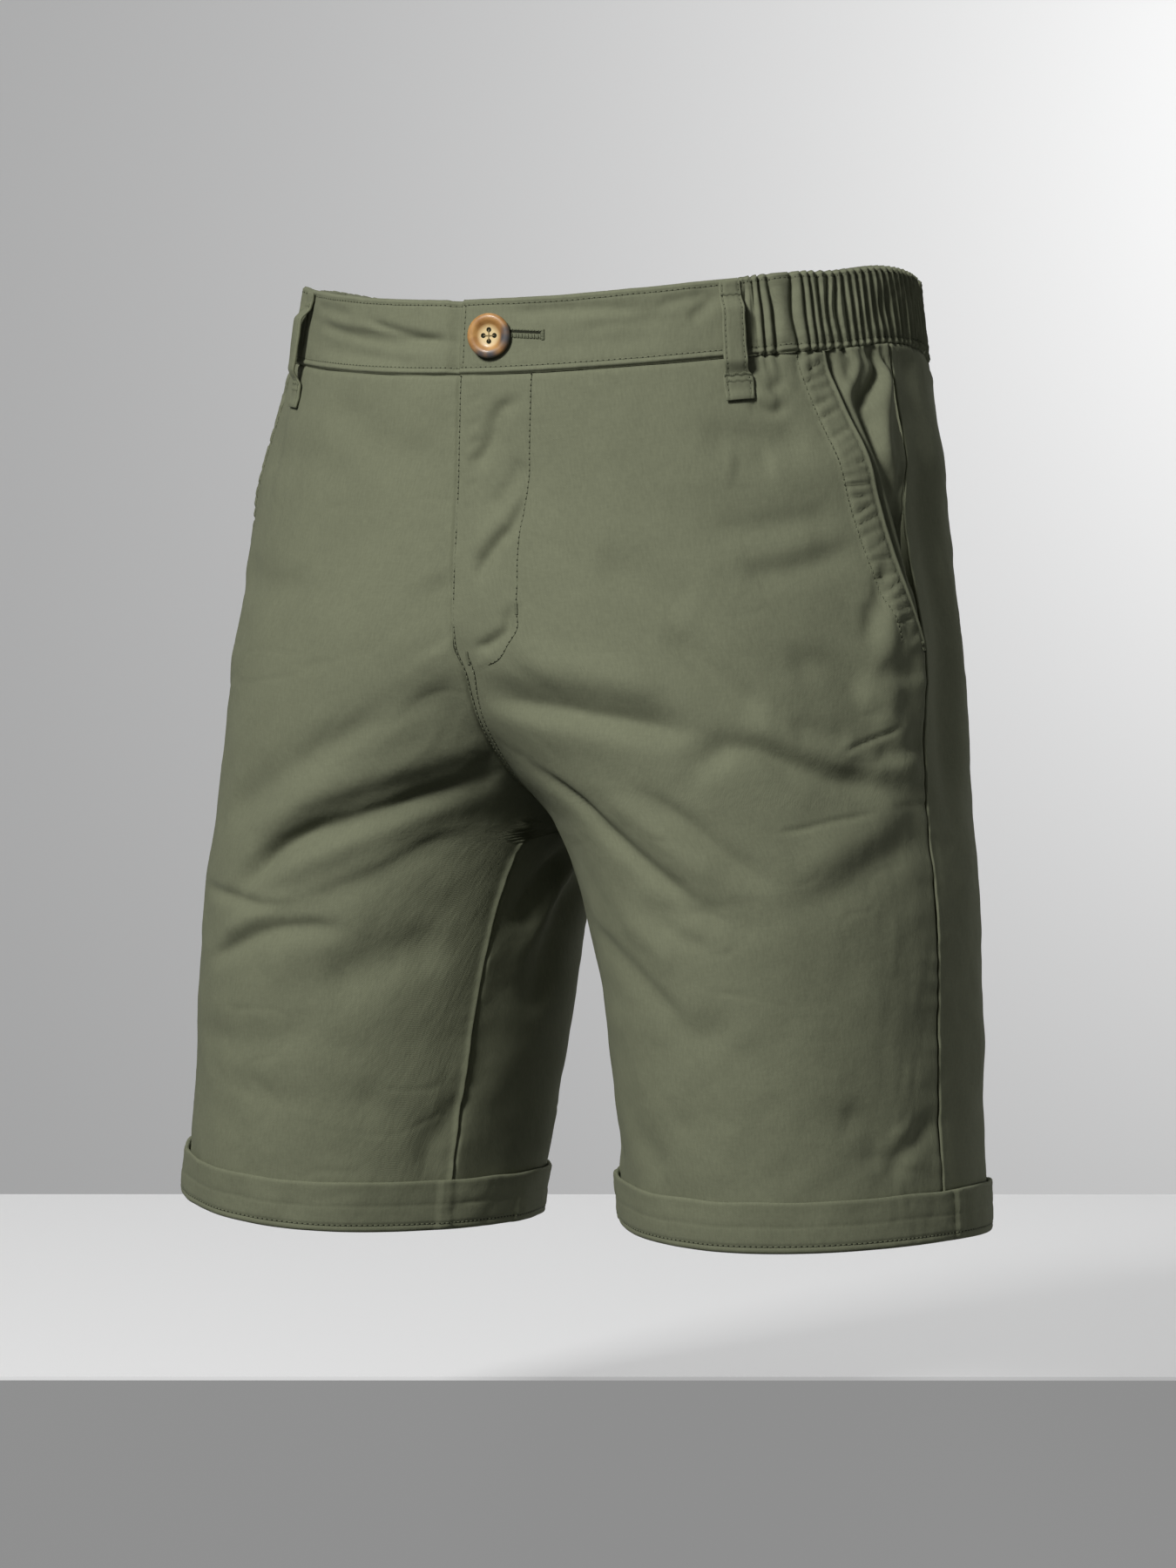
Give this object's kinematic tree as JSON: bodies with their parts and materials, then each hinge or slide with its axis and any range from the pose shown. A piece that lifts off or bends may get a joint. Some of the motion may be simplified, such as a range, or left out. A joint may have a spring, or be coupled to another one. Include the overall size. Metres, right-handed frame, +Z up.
{
  "type": "chino shorts",
  "caption": "Knee-length cotton twill chino shorts, filled out with no wearer: hollow cloth walls, flat front waistband, gathered back band, slant pockets, belt loops and turned-up cuffs.",
  "frame": {"origin": "middle of the waist ring, half way up the waistband, where the shorts are held", "axes": "+Z up out of the waist; the wearer faces -Y and the wearer's left is +X"},
  "size_m": [0.432, 0.293, 0.4727],
  "materials": {
    "olive_twill": "garment-washed olive cotton twill",
    "olive_twill_inner": "the same twill where it lies in a pocket or behind the fly",
    "pocket_cotton": "plain thin cotton pocketing",
    "zip_tape": "woven zip tape",
    "horn_button": "polished amber horn-look resin, four holes",
    "olive_thread": "wound sewing thread"
  },
  "bodies": {
    "root": {"front_left": "olive_twill", "front_right": "olive_twill", "back_left": "olive_twill", "back_right": "olive_twill", "hip_facing_left": "olive_twill_inner", "hip_facing_right": "olive_twill_inner", "pocket_bag_left": "pocket_cotton", "pocket_bag_right": "pocket_cotton", "fly_zip": "zip_tape", "fly_shield": "olive_twill_inner", "waistband_front_left": "olive_twill", "waistband_front_right": "olive_twill", "waistband_back": "olive_twill", "belt_loop_front_left": "olive_twill", "belt_loop_side_left": "olive_twill", "belt_loop_back": "olive_twill", "belt_loop_side_right": "olive_twill", "belt_loop_front_right": "olive_twill", "cuff_left": "olive_twill", "cuff_right": "olive_twill", "button": "horn_button", "button_thread": "olive_thread"}
  },
  "joints": []
}
